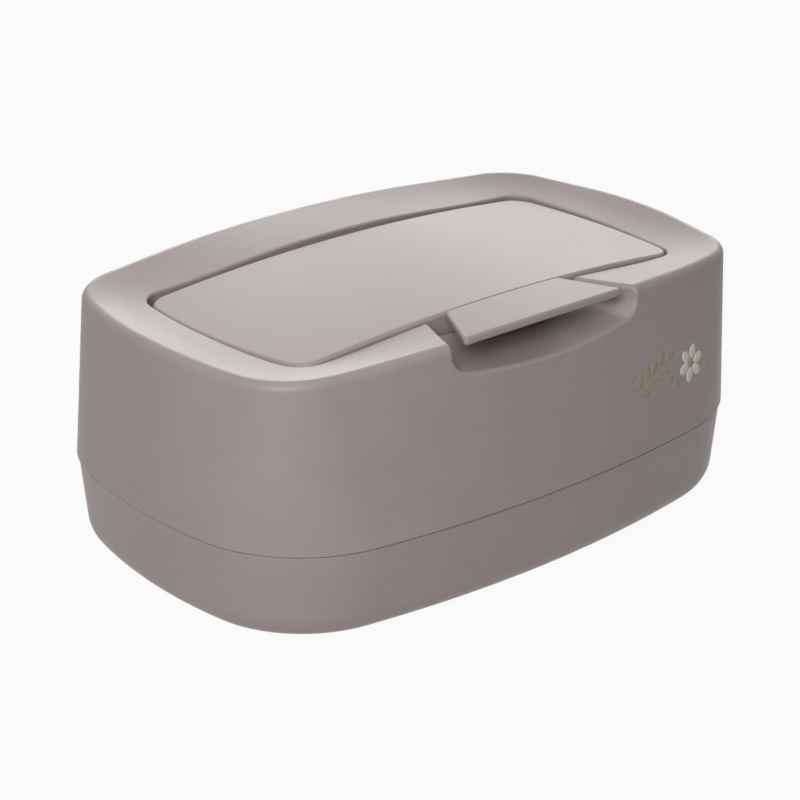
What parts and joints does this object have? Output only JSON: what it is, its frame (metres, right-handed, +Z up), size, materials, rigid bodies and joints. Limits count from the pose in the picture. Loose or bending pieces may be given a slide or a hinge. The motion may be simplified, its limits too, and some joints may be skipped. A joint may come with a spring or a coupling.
{
  "type": "baby wipes box",
  "caption": "Rounded tabletop box for baby wipes: a tray and a lift-off cover, with a sprung flip lid, a press tab at the front and a weight plate inside.",
  "frame": {"origin": "on the surface that the box stands on, under the middle of its outline at the parting line", "axes": "+X to the right along the length, +Y to the rear, +Z up; the press tab is at the front, -Y"},
  "size_m": [0.24, 0.1632, 0.0982],
  "materials": {
    "shell": "satin warm taupe moulded plastic with a fine grain",
    "plate": "satin off-white moulded plastic",
    "seal": "soft off-white silicone",
    "foot": "matt grey-brown rubber",
    "steel": "plain drawn steel"
  },
  "bodies": {
    "tray": {"base_tray": "shell", "foot_front_left": "foot", "foot_front_right": "foot", "foot_rear_left": "foot", "foot_rear_right": "foot"},
    "cover": {"housing_cover": "shell", "hinge_pin_left": "steel", "hinge_pin_right": "steel", "lid_spring_left": "steel", "lid_spring_right": "steel", "button_pin": "steel", "button_spring": "steel"},
    "lid": {"lid": "shell", "lid_seal": "seal"},
    "button": {"release_button": "shell"},
    "plate": {"weight_plate": "plate", "weight_bar_left": "steel", "weight_bar_right": "steel"}
  },
  "joints": [
    {"name": "cover_lift", "type": "slide", "parent": "tray", "child": "cover", "axis": [0, 0, 1], "range_m": [0, 0.08]},
    {"name": "lid_hinge", "type": "hinge", "parent": "cover", "child": "lid", "pos_m": [0, 0.03095, 0.0882], "axis": [-1, 0, 0], "range_deg": [0, 75]},
    {"name": "button_rock", "type": "hinge", "parent": "cover", "child": "button", "pos_m": [0, -0.05455, 0.075], "axis": [1, 0, 0], "range_deg": [0, 7], "stiffness_Nm_per_rad": 0.15, "springref_deg": -8.59, "deforming": ["button_spring"]},
    {"name": "plate_slide", "type": "slide", "parent": "tray", "child": "plate", "axis": [0, 0, 1], "range_m": [0, 0.036]}
  ]
}
